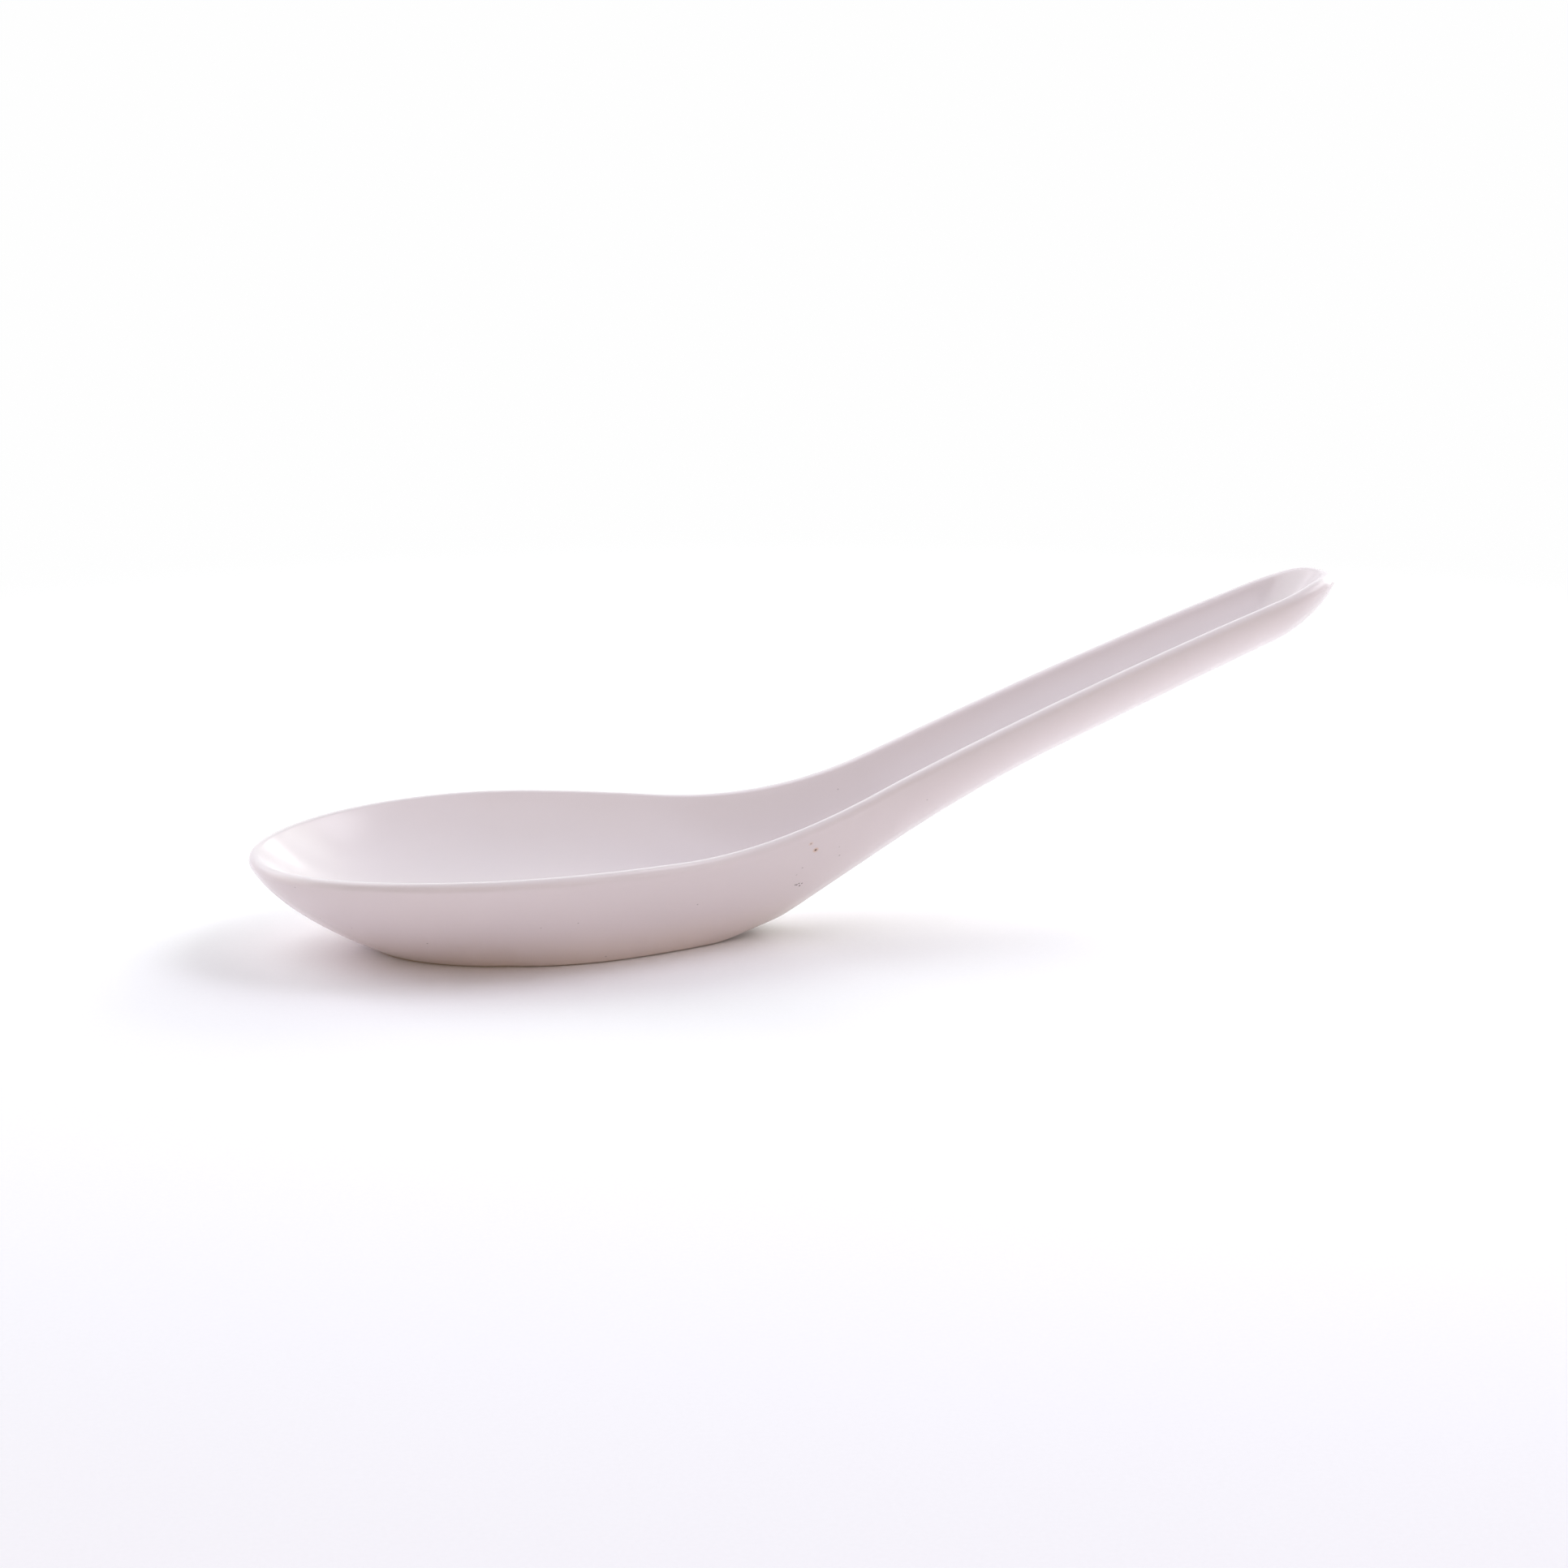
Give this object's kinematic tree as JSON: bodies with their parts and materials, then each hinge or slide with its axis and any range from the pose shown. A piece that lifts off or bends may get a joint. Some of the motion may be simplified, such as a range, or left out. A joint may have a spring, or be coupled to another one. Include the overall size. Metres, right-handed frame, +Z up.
{
  "type": "chinese soup spoon",
  "caption": "Porcelain soup spoon: a deep oval bowl on a flat foot, its round lip running on into a rising, channelled handle.",
  "frame": {"origin": "on the plane of the foot, inside the foot ring, on the spoon's middle plane", "axes": "+X towards the end of the handle, +Y to the left when looking along the handle from the bowl, +Z up"},
  "size_m": [0.1344, 0.044, 0.0432],
  "materials": {
    "glazed_porcelain": "glossy clear glaze over white porcelain",
    "bare_porcelain": "matt unglazed foot, wiped and ground flat"
  },
  "bodies": {
    "root": {"bowl": "glazed_porcelain", "handle": "glazed_porcelain", "foot_ring": "bare_porcelain"}
  },
  "joints": []
}
